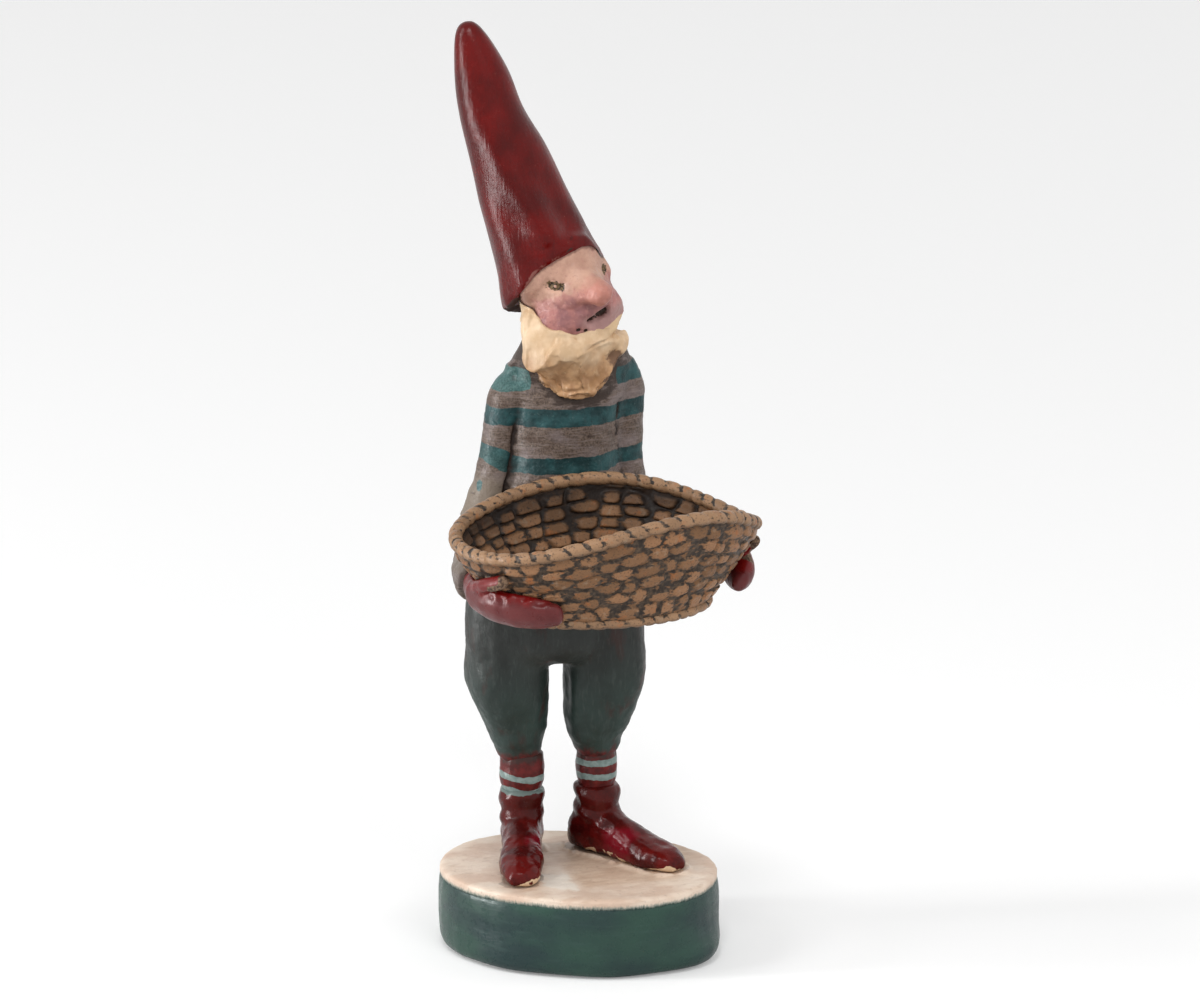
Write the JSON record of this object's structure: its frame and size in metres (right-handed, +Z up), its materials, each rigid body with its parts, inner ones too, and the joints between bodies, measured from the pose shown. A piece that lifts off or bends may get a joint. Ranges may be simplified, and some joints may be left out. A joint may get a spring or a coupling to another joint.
{
  "type": "standing elf figurine with basket",
  "caption": "Rigid painted elf figurine in a tall pointed hat, standing on an oval plinth and holding an open woven basket in front.",
  "frame": {"origin": "middle of the underside of the base pad, on the surface that the figurine stands on", "axes": "+Z up along the figurine, -Y towards the elf's front, -X towards the elf's right hand"},
  "size_m": [0.0801, 0.0957, 0.2407],
  "materials": {
    "pad_felt": "matte felt",
    "plinth_green": "satin paint on cast resin",
    "plinth_cream": "dry brushed matte paint",
    "boot_red": "gloss varnish over paint",
    "sock_stripes": "satin paint with pale stripes",
    "trouser_green": "satin paint, rubbed",
    "jersey_stripes": "dry brushed paint with teal stripes",
    "mitten_red": "gloss varnish over paint",
    "basket_brown": "satin paint, dark wash between the cells",
    "face_paint": "matte paint",
    "beard_cream": "matte paint on knife cut facets",
    "hat_red": "gloss varnish over paint",
    "rod_steel": "plain wire",
    "dowel_wood": "plain beech"
  },
  "bodies": {
    "root": {"base_pad": "pad_felt", "plinth": "plinth_green", "plinth_snow": "plinth_cream", "right_boot": "boot_red", "left_boot": "boot_red", "right_sock": "sock_stripes", "left_sock": "sock_stripes", "right_leg_rod": "rod_steel", "left_leg_rod": "rod_steel", "trousers": "trouser_green", "waist_dowel": "dowel_wood", "jersey_body": "jersey_stripes", "right_sleeve": "jersey_stripes", "left_sleeve": "jersey_stripes", "right_mitten": "mitten_red", "left_mitten": "mitten_red", "right_shoulder_pin": "rod_steel", "left_shoulder_pin": "rod_steel", "right_wrist_pin": "rod_steel", "left_wrist_pin": "rod_steel", "right_basket_pin": "rod_steel", "left_basket_pin": "rod_steel", "basket_body": "basket_brown", "basket_rim": "basket_brown", "basket_foot": "basket_brown", "neck_dowel": "dowel_wood", "head": "face_paint", "hat": "hat_red", "hat_dowel": "dowel_wood", "beard": "beard_cream"}
  },
  "joints": []
}
